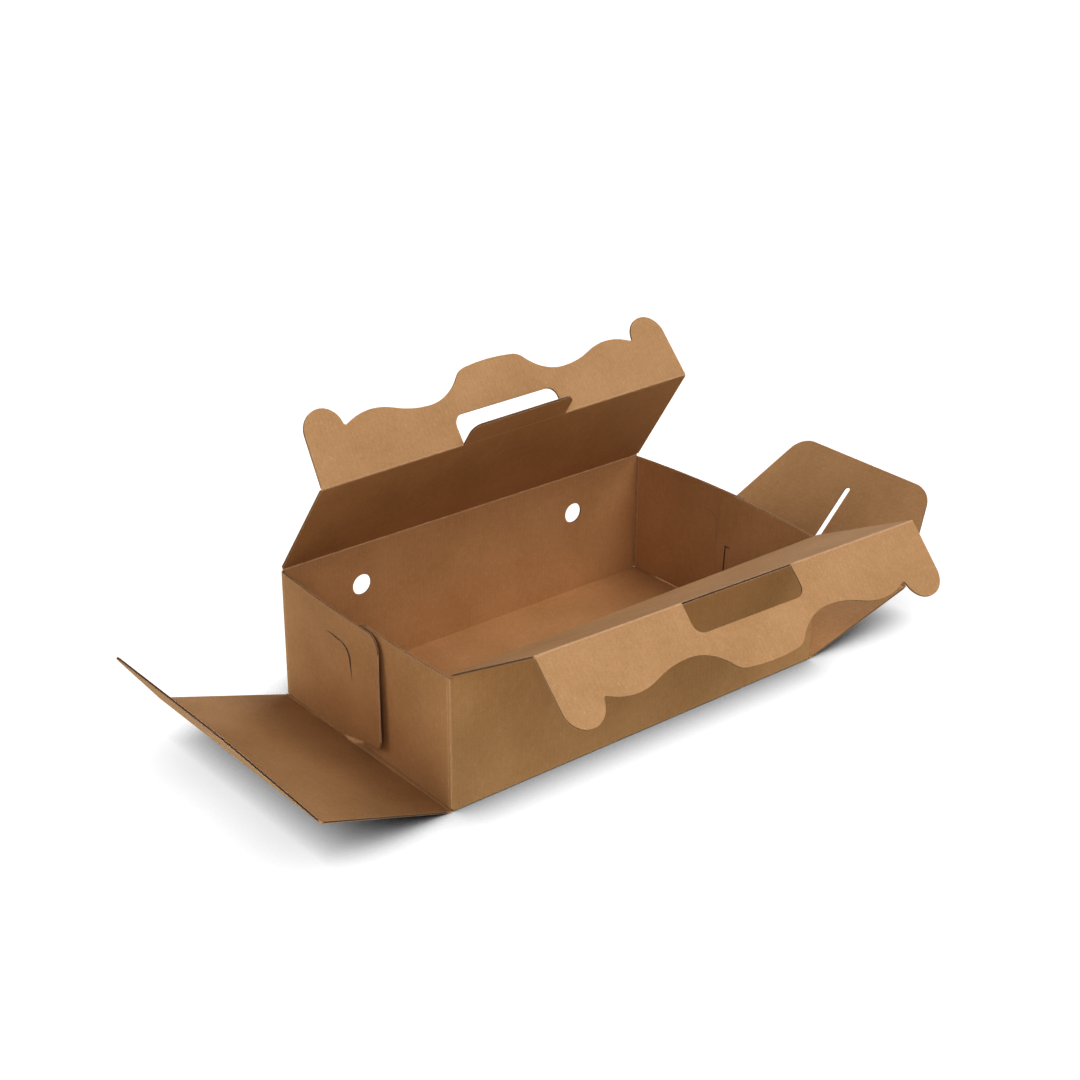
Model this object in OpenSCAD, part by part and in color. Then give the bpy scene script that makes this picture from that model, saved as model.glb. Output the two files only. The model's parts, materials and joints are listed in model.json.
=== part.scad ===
// Carry box for a slab of food, folded from one blank of corrugated card.
// It stands open: roof halves, handle halves, end panels and tips part-way
// through their travel. X runs along the box, Y to the back, Z up.

/* [Board] */
// Thickness of the corrugated board
board_t = 1.5; // [1:0.1:3]
// Air left beside a panel's round crease edge
crease_gap = 0.3; // [0.2:0.05:0.6]

/* [Tray] */
// Outside length over the end walls
box_l = 330; // [240:1:420]
// Outside width over the long walls
box_w = 196; // [150:1:260]
// Height of the roof creases above the table
box_h = 100.5; // [70:0.5:150]
// Diameter of the vents in the back wall
vent_d = 16; // [8:0.5:24]
// Distance between the two vents
vent_spacing = 197.5; // [60:0.5:260]
// Height of the vent centres above the table
vent_z = 68; // [30:0.5:120]

/* [Corner flaps] */
// Reach of the outer flap from its corner fold
outer_flap_reach = 121.5; // [100:0.5:140]
// Reach of the inner flap from its corner fold
inner_flap_reach = 103.5; // [80:0.5:140]
// Outward lean of the outer flap in degrees
outer_flap_lean = 0.4; // [0:0.1:0.6]
// Inward lean of the inner flap in degrees
inner_flap_lean = 1.2; // [0.8:0.1:3]
// Step down from the long wall's top edge to the flap's top edge
flap_drop = 1.2; // [0.5:0.1:5]
// Air between the floor and the flap at the fold
flap_lift = 0.6; // [0.3:0.1:3]
// Rise of the outer flap's bottom edge at its free end
outer_flap_rise = 9.5; // [0:0.5:20]
// Length of the outer flap's bottom edge that stays level
outer_flap_level = 52; // [20:1:80]
// Radius of the free top corner of a flap
flap_top_r = 12; // [2:0.5:20]
// Radius of the free bottom corner of a flap
flap_bottom_r = 4.5; // [1:0.5:12]

/* [Locking cut] */
// Width of the curved cut in the outer flap
cut_w = 0.7; // [0.4:0.1:2]
// Distance of the cut's upright leg from the corner fold
cut_reach = 87.5; // [60:0.5:100]
// Height of the lower end of the upright leg
cut_low = 50; // [30:0.5:60]
// Height of the level leg
cut_high = 78.8; // [65:0.5:90]
// Radius of the bend between the legs
cut_r = 12; // [5:0.5:20]
// Length of the level leg
cut_run = 18; // [5:0.5:30]

/* [Roof panels] */
// Inset of each roof panel's ends from the box's ends
roof_inset = 0.4; // [0.2:0.1:3]
// Air between the two handle panels when the box is shut
handle_gap = 0.6; // [0.4:0.1:2]
// Direction of the back roof panel as it stands, from level and outward
back_roof_angle = 123.6; // [5:0.1:175]
// Direction of the front roof panel as it stands, from level and inward
front_roof_angle = 151.4; // [5:0.1:175]

/* [Handle panels] */
// Fold of the back handle against its roof panel
back_handle_fold = 70.6; // [0:0.1:88]
// Fold of the front handle against its roof panel
front_handle_fold = 76.1; // [0:0.1:88]
// Height of the middle of the handle above its crease
handle_h = 53.4; // [45:0.1:70]
// Inset of the handle's side at the crease from the box's end
handle_inset = 1; // [0.5:0.1:5]
// Radius of the crown in the middle
crown_r = 160; // [80:1:400]
// Radius of the shoulders of the crown
shoulder_r = 14; // [8:0.5:16]
// Place of each bump's top as a share of the way from the middle to the end lobe
bump_share = 0.728; // [0.7:0.002:0.76]
// Place of each valley as a share of the way from the middle to the bump's top
valley_share = 0.57; // [0.54:0.005:0.6]
// Height of each valley above the crease
valley_h = 33; // [30:0.5:36]
// Radius of the valley on the crown's side
valley_in_r = 40; // [30:0.5:50]
// Height of the bump between valley and lobe
bump_h = 42; // [40:0.5:46]
// Share of the slope between bump and valley that the bump's own arc takes
bump_part = 0.385; // [0.35:0.005:0.45]
// Radius in the notch beside the lobe
notch_r = 2; // [1:0.1:3]
// Radius of the end lobe
lobe_r = 15.7; // [13:0.1:18]
// Height of the middle of the end lobe above the crease
lobe_h = 36.2; // [32:0.1:40]
// Inset of the lobe's outer side from the box's end
lobe_inset = 2.3; // [1:0.1:6]

/* [Hand holes] */
// Width of the hand hole in the back handle
back_hole_w = 92; // [80:0.5:100]
// Height of the hand hole in the back handle
back_hole_h = 21; // [16:0.5:24]
// Width of the hand hole in the front handle
front_hole_w = 95; // [86:0.5:104]
// Height of the hand hole in the front handle
front_hole_h = 22; // [18:0.5:25]
// Radius of the hand holes' upper corners
hole_r = 8; // [3:0.5:12]
// Width of the cut between the tongue and its hole
tongue_cut = 0.5; // [0.4:0.1:1.5]

/* [End panels] */
// Length of an end panel between its two creases
end_len = 102.5; // [102:0.5:130]
// Inset of an end panel's sides from the long walls
end_inset = 0.5; // [0.3:0.1:5]
// Air between a shut end panel and the end wall
end_gap = 1.5; // [1.2:0.1:4]
// Rise of the left end panel above level
left_end_angle = 18.3; // [0:0.1:70]
// Rise of the right end panel above level
right_end_angle = 14.8; // [0:0.1:70]

/* [Tips] */
// Length of a tip from its crease
tip_len = 79; // [65:0.5:90]
// Width of a tip at its outer edge before the corners are rounded
tip_end_w = 137; // [100:1:160]
// Radius of a tip's corners
tip_r = 20; // [5:0.5:30]
// Fold of the left tip against its end panel
left_tip_fold = 35; // [0:0.1:45]
// Fold of the right tip against its end panel
right_tip_fold = 30; // [0:0.1:45]
// Air on each side of the two handle boards in the slot
slot_air = 0.3; // [0.2:0.05:1]
// Distance of the slot's near end from the crease
slot_near = 2.2; // [2:0.1:4]
// Distance of the slot's far end from the crease
slot_far = 57; // [50:0.5:62]

/* [Hidden] */
$fn = 96;
kraft = [0.66, 0.49, 0.32];
kraft_dark = [0.55, 0.38, 0.23];
// Height that a true arc may stand over each straight step along the handle's edge
arc_sag = 0.04;

// Fold line height of everything that is creased to the floor
floor_axis_z = board_t / 2;
// Half the distance between the two roof creases
roof_axis_y = box_w / 2 - board_t / 2;
// Distance between a roof panel's two creases
roof_len = roof_axis_y - board_t / 2 - handle_gap / 2;
roof_half = box_l / 2 - roof_inset;
// Distance of the flat edge beside a crease from the crease line
edge_back = board_t / 2 + crease_gap;
wall_top = box_h - edge_back;
// Inner corner where a long wall turns into its flap
corner_x = box_l / 2 - board_t;
corner_y = box_w / 2 - board_t;
flap_base = board_t + flap_lift;
flap_top = wall_top - flap_drop;
end_axis_x = box_l / 2 + end_gap + board_t / 2;
end_half = box_w / 2 - end_inset;
slot_w = 2 * board_t + handle_gap + 2 * slot_air;
tongue_half = back_hole_w / 2 - tongue_cut;
tongue_len = back_hole_h - tongue_cut;
front_rest_half = front_hole_w / 2 - tongue_cut;

// Centres and meeting points of the arcs along one half of the handle
handle_side = box_l / 2 - handle_inset;
lobe_c = [box_l / 2 - lobe_inset - lobe_r, lobe_h];
bump_x = bump_share * lobe_c[0];
valley_x = valley_share * bump_x;
slope_run = bump_x - valley_x;
slope_drop = bump_h - valley_h;
slope_r = (slope_run * slope_run + slope_drop * slope_drop) / (2 * slope_drop);
bump_r = bump_part * slope_r;
valley_out_r = slope_r - bump_r;
crown_c = [0, handle_h - crown_r];
valley_p = [valley_x, valley_h];
valley_in_c = [valley_x, valley_h + valley_in_r];
valley_out_c = [valley_x, valley_h + valley_out_r];
shoulder_c = meet(crown_c, crown_r - shoulder_r, valley_in_c, shoulder_r + valley_in_r, 1);
bump_c = [bump_x, bump_h - bump_r];
notch_c = meet(bump_c, bump_r + notch_r, lobe_c, lobe_r + notch_r, 1);
crown_p = toward(crown_c, shoulder_c, crown_r);
shoulder_p = toward(shoulder_c, valley_in_c, shoulder_r);
bump_p = toward(bump_c, valley_out_c, bump_r);
bump_q = toward(bump_c, notch_c, bump_r);
notch_q = toward(lobe_c, notch_c, lobe_r);
crown_top = [0, handle_h];
lobe_top = [lobe_c[0], lobe_c[1] + lobe_r];
lobe_side = touch([handle_side, 0], lobe_c, lobe_r);

// Point at distance d from p on the way to q
function toward(p, q, d) = p + (q - p) * (d / norm(q - p));
// Meeting point of circle p with radius a and circle q with radius b, on the left of p to q for s = 1
function meet(p, a, q, b, s) =
  let (d = norm(q - p), x = (d * d + a * a - b * b) / (2 * d), h = sqrt(a * a - x * x), e = (q - p) / d)
  p + x * e + s * h * [-e[1], e[0]];
// Point where a line from p touches the right side of circle c
function touch(p, c, r) =
  let (d = norm(c - p), a = atan2(c[1] - p[1], c[0] - p[0]) - asin(r / d), l = sqrt(d * d - r * r))
  p + l * [cos(a), sin(a)];
function flip(p) = [-p[0], p[1]];
function turned(p, a) = [p[0] * cos(a) - p[1] * sin(a), p[0] * sin(a) + p[1] * cos(a)];
// Points along the short arc around c, from p to the last one before q
function arc(c, p, q) =
  let (u = p - c, v = q - c, turn = atan2(u[0] * v[1] - u[1] * v[0], u * v))
  let (n = ceil(abs(turn) / (2 * acos(1 - arc_sag / norm(u)))))
  [for (i = [0 : n - 1]) c + turned(u, turn * i / n)];
// Centre and two ends of the fillet of radius r at corner b between a and c
function fillet(a, b, c, r) =
  let (e = (a - b) / norm(a - b), f = (c - b) / norm(c - b), w = acos(e * f), l = r / tan(w / 2), m = (e + f) / norm(e + f))
  [b + m * (r / sin(w / 2)), b + e * l, b + f * l];

// Slice of a circle beyond the chord from a to b
module bow(c, r, a, b) {
  m = (a + b) / 2;
  out = r * (m - c) / norm(m - c);
  intersection() {
    translate(c) circle(r = r);
    polygon([a, b, b + out, a + out]);
  }
}

// Outline that is cut from the blank by a fillet
module fillet_bow(f, r) {
  bow(f[0], r, f[1], f[2]);
}

// Section of a board that starts with a round crease edge at the origin
module crease_section(len) {
  r = board_t / 2;
  union() {
    translate([0, -r]) square([len, board_t]);
    intersection() {
      circle(r = r);
      translate([-board_t, -board_t]) square([board_t, 2 * board_t]);
    }
  }
}

// Board in the XY plane, creased along the X axis and cut to the outline of its children
module board(half, len) {
  intersection() {
    rotate([90, 0, 90]) linear_extrude(height = 2 * half, center = true) crease_section(len);
    linear_extrude(height = 2 * board_t, center = true) children();
  }
}

// Wavy outline of a handle, from just below its crease
module handle_outline() {
  half = concat(
    [[handle_side, -board_t], [handle_side, 0]],
    arc(lobe_c, lobe_side, lobe_top),
    arc(lobe_c, lobe_top, notch_q),
    arc(notch_c, notch_q, bump_q),
    arc(bump_c, bump_q, bump_p),
    arc(valley_out_c, bump_p, valley_p),
    arc(valley_in_c, valley_p, shoulder_p),
    arc(shoulder_c, shoulder_p, crown_p),
    arc(crown_c, crown_p, crown_top)
  );
  n = len(half);
  polygon([for (i = [0 : 2 * n]) i < n ? half[i] : i == n ? crown_top : flip(half[2 * n - i])]);
}

// Rectangle from y = low to y = high with its two upper corners rounded
module arched(half, low, high, r) {
  right = fillet([half, low], [half, high], [0, high], r);
  polygon([[half, low], right[1], right[2], flip(right[2]), flip(right[1]), [-half, low]]);
  for (s = [0, 1]) mirror([s, 0]) fillet_bow(right, r);
}

module handle_panel(hole_w, hole_h) {
  board(handle_side, handle_h + board_t) difference() {
    handle_outline();
    arched(hole_w / 2, -3 * board_t, hole_h, hole_r);
  }
}

module front_roof_outline() {
  translate([-roof_half, -board_t]) square([2 * roof_half, roof_len - edge_back + board_t]);
  translate([-front_rest_half, roof_len / 2]) square([2 * front_rest_half, roof_len / 2]);
}

module back_roof_outline() {
  translate([-roof_half, -board_t]) square([2 * roof_half, roof_len - edge_back + board_t]);
  translate([0, roof_len]) arched(tongue_half, -roof_len / 2, tongue_len, hole_r - tongue_cut);
}

module end_outline() {
  translate([-end_half, -board_t]) square([2 * end_half, end_len - edge_back + board_t]);
}

module tip_outline() {
  corner = fillet([end_half, 0], [tip_end_w / 2, tip_len], [0, tip_len], tip_r);
  slot_r = slot_w / 2;
  difference() {
    union() {
      polygon([[end_half, 0], corner[1], corner[2], flip(corner[2]), flip(corner[1]), [-end_half, 0]]);
      translate([-end_half, -board_t]) square([2 * end_half, board_t]);
      for (s = [0, 1]) mirror([s, 0]) fillet_bow(corner, tip_r);
    }
    translate([-slot_r, slot_near]) square([slot_w, slot_far - slot_r - slot_near]);
    translate([0, slot_far - slot_r]) circle(r = slot_r);
  }
}

// Corner flap standing on its fold: x is the distance from the fold, y the height
module flap_outline(reach, level, rise) {
  heel = [-2 * board_t, flap_base];
  knee = [level, flap_base];
  foot = [reach, flap_base + rise];
  low = fillet(knee, foot, [reach, flap_top], flap_bottom_r);
  high = fillet(foot, [reach, flap_top], [heel[0], flap_top], flap_top_r);
  polygon([heel, knee, low[1], low[2], high[1], high[2], [heel[0], flap_top]]);
  fillet_bow(low, flap_bottom_r);
  fillet_bow(high, flap_top_r);
}

// Curved locking cut in the outer flap, in the flap's own plane
module locking_cut() {
  c = [cut_reach - cut_r, cut_high - cut_r];
  translate([cut_reach - cut_w / 2, cut_low]) square([cut_w, cut_high - cut_r - cut_low]);
  translate([c[0] - cut_run, cut_high - cut_w / 2]) square([cut_run, cut_w]);
  intersection() {
    translate(c) difference() {
      circle(r = cut_r + cut_w / 2);
      circle(r = cut_r - cut_w / 2);
    }
    translate(c) square([2 * cut_r, 2 * cut_r]);
  }
}

// Plan of a flap with its round upright fold: it starts at the fold's inner corner and runs along -Y
module flap_plan(reach, lean) {
  along = reach * [sin(lean), -cos(lean)];
  out = [board_t, 0];
  fold = [0, board_t];
  polygon([[0, 0], along, out + along, out, fold]);
  bow([0, 0], board_t, out, fold);
}

// Flap of that plan, cut to the outline of its children, its outer face on the +X side
module flap(reach, lean) {
  intersection() {
    linear_extrude(height = box_h) flap_plan(reach + board_t, lean);
    rotate([0, 0, lean]) mirror([0, 1, 0]) rotate([90, 0, 90]) linear_extrude(height = 4 * board_t, center = true) children();
  }
}

// Floor and long walls bent from one strip
module trough() {
  hw = box_w / 2;
  t = board_t;
  rotate([90, 0, 90]) linear_extrude(height = 2 * corner_x, center = true) {
    polygon([
      [hw, wall_top], [hw - t, wall_top], [hw - t, t], [t - hw, t],
      [t - hw, wall_top], [-hw, wall_top], [-hw, t], [t - hw, 0],
      [hw - t, 0], [hw, t]
    ]);
    for (s = [0, 1]) mirror([s, 0]) bow([hw - t, t], t, [hw - t, 0], [hw, t]);
  }
}

module tray() {
  lip = end_axis_x - edge_back - corner_x;
  color(kraft) difference() {
    union() {
      trough();
      for (s = [0, 1]) mirror([s, 0, 0]) {
        translate([corner_x, -end_half, 0]) cube([lip, 2 * end_half, board_t]);
        translate([corner_x, corner_y, 0]) flap(outer_flap_reach, outer_flap_lean) difference() {
          flap_outline(outer_flap_reach, outer_flap_level, outer_flap_rise);
          locking_cut();
        }
        translate([corner_x, -corner_y, 0]) mirror([0, 1, 0]) flap(inner_flap_reach, -inner_flap_lean) {
          flap_outline(inner_flap_reach, outer_flap_level, 0);
        }
      }
    }
    for (s = [-1, 1]) translate([s * vent_spacing / 2, box_w / 2, vent_z]) rotate([90, 0, 0]) cylinder(d = vent_d, h = 4 * board_t, center = true);
  }
}

// Places its children with their crease on a roof crease, turned to angle a from the +Y direction
module at_roof(side, a) {
  translate([0, side * roof_axis_y, box_h]) rotate([a, 0, 0]) children();
}

module back_roof_panel() {
  color(kraft_dark) at_roof(1, back_roof_angle) board(roof_half, 2 * roof_len) back_roof_outline();
}

module back_handle_panel() {
  color(kraft) at_roof(1, back_roof_angle) translate([0, roof_len, 0]) rotate([-back_handle_fold, 0, 0]) handle_panel(back_hole_w, back_hole_h);
}

module front_roof_panel() {
  color(kraft_dark) at_roof(-1, front_roof_angle) board(roof_half, 2 * roof_len) front_roof_outline();
}

module front_handle_panel() {
  color(kraft) at_roof(-1, front_roof_angle) translate([0, roof_len, 0]) rotate([front_handle_fold, 0, 0]) handle_panel(front_hole_w, front_hole_h);
}

// Places its children on the right end's floor crease, running outward and up at angle a
module at_end(a) {
  translate([end_axis_x, 0, floor_axis_z]) rotate([0, -a, 0]) rotate([0, 0, -90]) children();
}

module end_panel(a) {
  color(kraft) at_end(a) board(end_half, 2 * end_len) end_outline();
}

module tip_panel(a, fold) {
  color(kraft) at_end(a) translate([0, end_len, 0]) rotate([fold, 0, 0]) board(end_half, 2 * tip_len) tip_outline();
}

module left_end_panel() {
  mirror([1, 0, 0]) end_panel(left_end_angle);
}

module left_tip_panel() {
  mirror([1, 0, 0]) tip_panel(left_end_angle, left_tip_fold);
}

module right_end_panel() {
  end_panel(right_end_angle);
}

module right_tip_panel() {
  tip_panel(right_end_angle, right_tip_fold);
}

tray();
back_roof_panel();
back_handle_panel();
front_roof_panel();
front_handle_panel();
left_end_panel();
left_tip_panel();
right_end_panel();
right_tip_panel();
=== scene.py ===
import json
import math

import bmesh
import bpy
from mathutils import Matrix, Vector


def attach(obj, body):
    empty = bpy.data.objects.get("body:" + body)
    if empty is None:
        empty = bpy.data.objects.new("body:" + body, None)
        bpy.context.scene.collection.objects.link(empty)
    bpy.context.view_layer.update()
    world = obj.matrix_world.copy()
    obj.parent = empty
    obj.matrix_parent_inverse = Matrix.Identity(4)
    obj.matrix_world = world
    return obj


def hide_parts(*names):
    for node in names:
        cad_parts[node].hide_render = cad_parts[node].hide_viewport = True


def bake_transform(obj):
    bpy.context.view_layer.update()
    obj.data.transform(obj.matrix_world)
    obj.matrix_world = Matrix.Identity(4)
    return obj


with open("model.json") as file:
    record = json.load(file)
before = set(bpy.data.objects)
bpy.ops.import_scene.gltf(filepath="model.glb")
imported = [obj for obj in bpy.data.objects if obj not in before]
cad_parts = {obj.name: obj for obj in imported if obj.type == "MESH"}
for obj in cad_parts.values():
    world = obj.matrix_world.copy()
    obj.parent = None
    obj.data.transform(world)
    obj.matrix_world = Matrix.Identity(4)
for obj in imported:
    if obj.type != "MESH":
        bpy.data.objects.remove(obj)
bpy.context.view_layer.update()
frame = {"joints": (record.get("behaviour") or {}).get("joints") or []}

# Sizes of the card blank, in millimetres
MM = 0.001
BOARD = 1.5
LINER = 0.24
MEDIUM = 0.2
FLUTE_PITCH = 3.5
FLUTE_STEPS = 8

# How finely the liners are divided: boards that only twist, flaps that bulge, and flat boards
WARP_STEP = 12.0
FLAP_STEP = 6.0
FLAT_STEP = 500.0

# Degrees in one step of an arc, segments of a vent, and the distances within which points are one
ARC_STEP = 6
VENT_SEGMENTS = 64
PEN_JOIN = 0.01
WELD = 0.0001
CUT_TOLERANCE = 0.0005

# An edge sharper than this many degrees isn't smoothed. A face whose normal rises less than this out of
# the sheet is a cut.
SHARP_ANGLE = 35
CUT_RISE = 0.2

# Places of the three papers in a piece's material slots
FACE_SLOT, CUT_SLOT, FLUTE_SLOT = 0, 1, 2

BOX_L = 330.0
BOX_W = 196.0
BOX_H = 100.5
VENT_D = 16.0
VENT_SPACING = 197.5
VENT_Z = 68.0

# Corner flaps; a left flap's value has the key -1, a right one's 1
OUTER_REACH = 121.5
INNER_REACH = 103.5
OUTER_LEAN = 0.4
INNER_LEAN = {-1: 2.0, 1: 0.55}
FLAP_BASE = 2.1
FLAP_TOP = 98.25
EDGE_RIM = 0.5
EDGE_ROWS = 24
OUTER_EDGE_LOW = 19.5
INNER_LEVEL = 52.0
OUTER_LEVEL = 70.0
OUTER_RISE = 12.5
FLAP_TOP_R = 12.0
FLAP_BOTTOM_R = 4.5
FLAP_ARCH = 0.7
ARCH_START, ARCH_FULL, ARCH_END = 0.2, 0.4, 0.85

# The curved cut in the outer flap, and the hooked slit in the inner one
CUT_W = {-1: 2.2, 1: 0.3}
CUT_REACH = 87.5
CUT_LOW = 50.0
CUT_HIGH = 78.8
CUT_R = 12.0
CUT_RUN = 18.0
SLIT_REACH = 93.5
SLIT_LOW = 12.0
SLIT_HIGH = 57.0
SLIT_W = 1.2
SLIT_HOOK = 4.5

# Corner folds of the tray: a groove along the inside, from the boards' edges to the pressed paper
GROOVE = 0.9
GROOVE_DEPTH = 0.7

ROOF_INSET = 0.4

# The handle's wavy outline, from the crown in its middle to the lobe at each end
HANDLE_H = 53.4
HANDLE_INSET = 1.0
CROWN_R = 160.0
SHOULDER_R = 14.0
BUMP_SHARE = 0.728
VALLEY_SHARE = 0.57
VALLEY_H = 33.0
VALLEY_IN_R = 40.0
BUMP_H = 42.0
BUMP_PART = 0.385
NOTCH_R = 2.0
LOBE_R = 15.7
LOBE_H = 36.2
LOBE_INSET = 2.3

# Hand holes, width and height, and the cut round the tongue that is left standing
BACK_HOLE = (92.0, 21.0)
FRONT_HOLE = (95.0, 22.0)
HOLE_R = 8.0
TONGUE_CUT = 0.5

END_LEN = 102.5
END_HALF = 97.5
TIP_LEN = 79.0
TIP_END_W = 137.0
TIP_R = 20.0
SLOT_W = 5.4
SLOT_NEAR = 2.2
SLOT_FAR = 55.0

# How far apart the two sides of the sheet lie in the blank map, in metres
UNDERSIDE = 0.9

# A pressed strip or rim stays this far off the faces beside it, so that no two faces fall together
SINK = 0.02

# A moving fold: half its width, how far its ends run in under the liners, how much thinner its middle is
# on each side, and the rows that it bends in
FOLD_HALF = 1.5
FOLD_LAP = 0.5
FOLD_PRESS = 0.12
FOLD_ROWS = 14

# A fixed fold: its rows, and the inner radius of those along the floor's long sides
CORNER_ROWS = 8
FLOOR_FOLD_R = 0.12

# Warps of the real sheet: twist in degrees over half a panel's length, bulge in millimetres
BACK_ROOF_TWIST = -1.35
BACK_HANDLE_TWIST = -4.6
FRONT_ROOF_TWIST = 1.9
FRONT_HANDLE_TWIST = -1.25
BULGE = {-1: 4.0, 1: 7.0}
BULGE_POWER = 1.3
FOOT_BULGE = 1.2
OUTER_LIFT = 2.9
OUTER_LIFT_RUN = 36.0
OUTER_LIFT_LOSS = 0.9
OUTER_LIFT_POWER = 2.2

X, Y, Z = Vector((1, 0, 0)), Vector((0, 1, 0)), Vector((0, 0, 1))
joints = {j["name"]: j for j in frame["joints"]}


def rest_angle(joint):
    """Degrees from the flat sheet, where the joint's lower limit is, to the rest pose."""
    return -joints[joint]["range_deg"][0]


def crease(joint):
    """The crease line's middle, in millimetres."""
    return Vector(joints[joint]["pos_m"]) / MM


BACK_ROOF_A = rest_angle("back_roof_crease")
BACK_HANDLE_A = BACK_ROOF_A - rest_angle("back_handle_crease")
FRONT_ROOF_A = 180.0 - rest_angle("front_roof_crease")
FRONT_HANDLE_A = FRONT_ROOF_A + rest_angle("front_handle_crease")
END_A = {side: rest_angle(side + "_end_crease") for side in ("left", "right")}
TIP_A = {side: END_A[side] + rest_angle(side + "_tip_crease") for side in ("left", "right")}
ROOF_LEN = (crease("back_handle_crease") - crease("back_roof_crease")).length
WALL_MID = crease("back_roof_crease").y
CORNER_X = BOX_L / 2 - BOARD
CORNER_Y = BOX_W / 2 - BOARD
ROOF_HALF = BOX_L / 2 - ROOF_INSET
WALL_TO = BOX_W / 2 + BOX_H
END_X = crease("right_end_crease").x

# The middle of the upright corner folds in the blank map
CORNER_FOLD = BOX_L / 2 + 1


# Outlines, drawn flat with a pen of vertices and edges

def towards(p, q, d):
    return p + (q - p).normalized() * d


def meet(p, a, q, b):
    """Where circle p of radius a and circle q of radius b meet, on the left of p to q."""
    d = (q - p).length
    along = (d * d + a * a - b * b) / (2 * d)
    e = (q - p) / d
    return p + e * along + Vector((-e.y, e.x)) * math.sqrt(a * a - along * along)


def touch(p, c, r):
    """Where a line from p touches the right side of circle c."""
    d = (c - p).length
    a = math.atan2(c.y - p.y, c.x - p.x) - math.asin(r / d)
    return p + Vector((math.cos(a), math.sin(a))) * math.sqrt(d * d - r * r)


def fillet(a, b, c, r):
    """Centre and ends of an arc of radius r in the corner b between a and c."""
    e = (Vector(a) - Vector(b)).normalized()
    f = (Vector(c) - Vector(b)).normalized()
    w = e.angle(f)
    reach = r / math.tan(w / 2)
    centre = Vector(b) + (e + f).normalized() * (r / math.sin(w / 2))
    return centre, Vector(b) + e * reach, Vector(b) + f * reach


def draw(bm, first, *moves):
    """Draws on from the first point: a move is a point, or (centre, point) for the short arc there."""
    pen = bm.verts.new((*first, 0))
    for move in moves:
        if isinstance(move, tuple) and isinstance(move[0], Vector):
            centre, end = move
            a, b = pen.co.xy - centre, end - centre
            turn = math.atan2(a.x * b.y - a.y * b.x, a.dot(b))
            steps = max(2, math.ceil(abs(turn) * 180 / math.pi / ARC_STEP))
            made = bmesh.ops.spin(bm, geom=[pen], cent=(*centre, 0), axis=Z, angle=turn, steps=steps)
            pen = [g for g in made["geom_last"] if isinstance(g, bmesh.types.BMVert)][0]
        else:
            end = bm.verts.new((*move, 0))
            bm.edges.new((pen, end))
            pen = end
    return pen


def close(bm):
    """Joins the pen's strokes into closed loops."""
    bmesh.ops.remove_doubles(bm, verts=bm.verts, dist=PEN_JOIN)


def mirrored(bm):
    bmesh.ops.mirror(bm, geom=bm.verts[:] + bm.edges[:], merge_dist=PEN_JOIN, axis="X")
    close(bm)


def rectangle(bm, x0, x1, y0, y1):
    draw(bm, (x0, y0), (x1, y0), (x1, y1), (x0, y1), (x0, y0))
    close(bm)


def circle(bm, x, y, r):
    bmesh.ops.create_circle(bm, segments=VENT_SEGMENTS, radius=r, matrix=Matrix.Translation((x, y, 0)))


def hole_corner(width, height):
    return fillet((width / 2, 0), (width / 2, height), (0, height), HOLE_R)


def handle_outline(bm, hole):
    """Half of the wavy outline is drawn and mirrored. The hand hole opens into the crease."""
    lobe = Vector((BOX_L / 2 - LOBE_INSET - LOBE_R, LOBE_H))
    bump_x = BUMP_SHARE * lobe.x
    valley_x = VALLEY_SHARE * bump_x
    run, drop = bump_x - valley_x, BUMP_H - VALLEY_H
    both = (run * run + drop * drop) / (2 * drop)
    bump_r = BUMP_PART * both
    bump = Vector((bump_x, BUMP_H - bump_r))
    crown = Vector((0, HANDLE_H - CROWN_R))
    valley = Vector((valley_x, VALLEY_H))
    valley_in = Vector((valley_x, VALLEY_H + VALLEY_IN_R))
    valley_out = Vector((valley_x, VALLEY_H + both - bump_r))
    shoulder = meet(crown, CROWN_R - SHOULDER_R, valley_in, SHOULDER_R + VALLEY_IN_R)
    notch = meet(bump, bump_r + NOTCH_R, lobe, LOBE_R + NOTCH_R)
    foot = Vector((BOX_L / 2 - HANDLE_INSET, 0))
    side = touch(foot, lobe, LOBE_R)
    start = towards(foot, side, FOLD_HALF)
    arch = hole_corner(*hole)
    draw(
        bm,
        (0, hole[1]),
        arch[2],
        (arch[0], arch[1]),
        (hole[0] / 2, FOLD_HALF),
        start,
        side,
        (lobe, lobe + Vector((0, LOBE_R))),
        (lobe, towards(lobe, notch, LOBE_R)),
        (notch, towards(bump, notch, bump_r)),
        (bump, towards(bump, valley_out, bump_r)),
        (valley_out, valley),
        (valley_in, towards(shoulder, valley_in, SHOULDER_R)),
        (shoulder, towards(crown, shoulder, CROWN_R)),
        (crown, Vector((0, HANDLE_H))),
    )
    mirrored(bm)


def back_roof_outline(bm):
    """The roof half with the tongue that was cut out of its handle's hole."""
    half = BACK_HOLE[0] / 2 - TONGUE_CUT
    top = ROOF_LEN + BACK_HOLE[1] - TONGUE_CUT
    edge = ROOF_LEN - FOLD_HALF
    corner = fillet((half, edge), (half, top), (0, top), HOLE_R - TONGUE_CUT)
    draw(
        bm,
        (0, FOLD_HALF),
        (ROOF_HALF, FOLD_HALF),
        (ROOF_HALF, edge),
        (half, edge),
        corner[1],
        (corner[0], corner[2]),
        (0, top),
    )
    mirrored(bm)


def front_roof_outline(bm):
    half = FRONT_HOLE[0] / 2 - TONGUE_CUT
    edge = ROOF_LEN - FOLD_HALF
    draw(
        bm,
        (0, FOLD_HALF),
        (ROOF_HALF, FOLD_HALF),
        (ROOF_HALF, edge),
        (half, edge),
        (half, ROOF_LEN),
        (0, ROOF_LEN),
    )
    mirrored(bm)


def end_outline(bm):
    rectangle(bm, -END_HALF, END_HALF, FOLD_HALF, END_LEN - FOLD_HALF)


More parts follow.
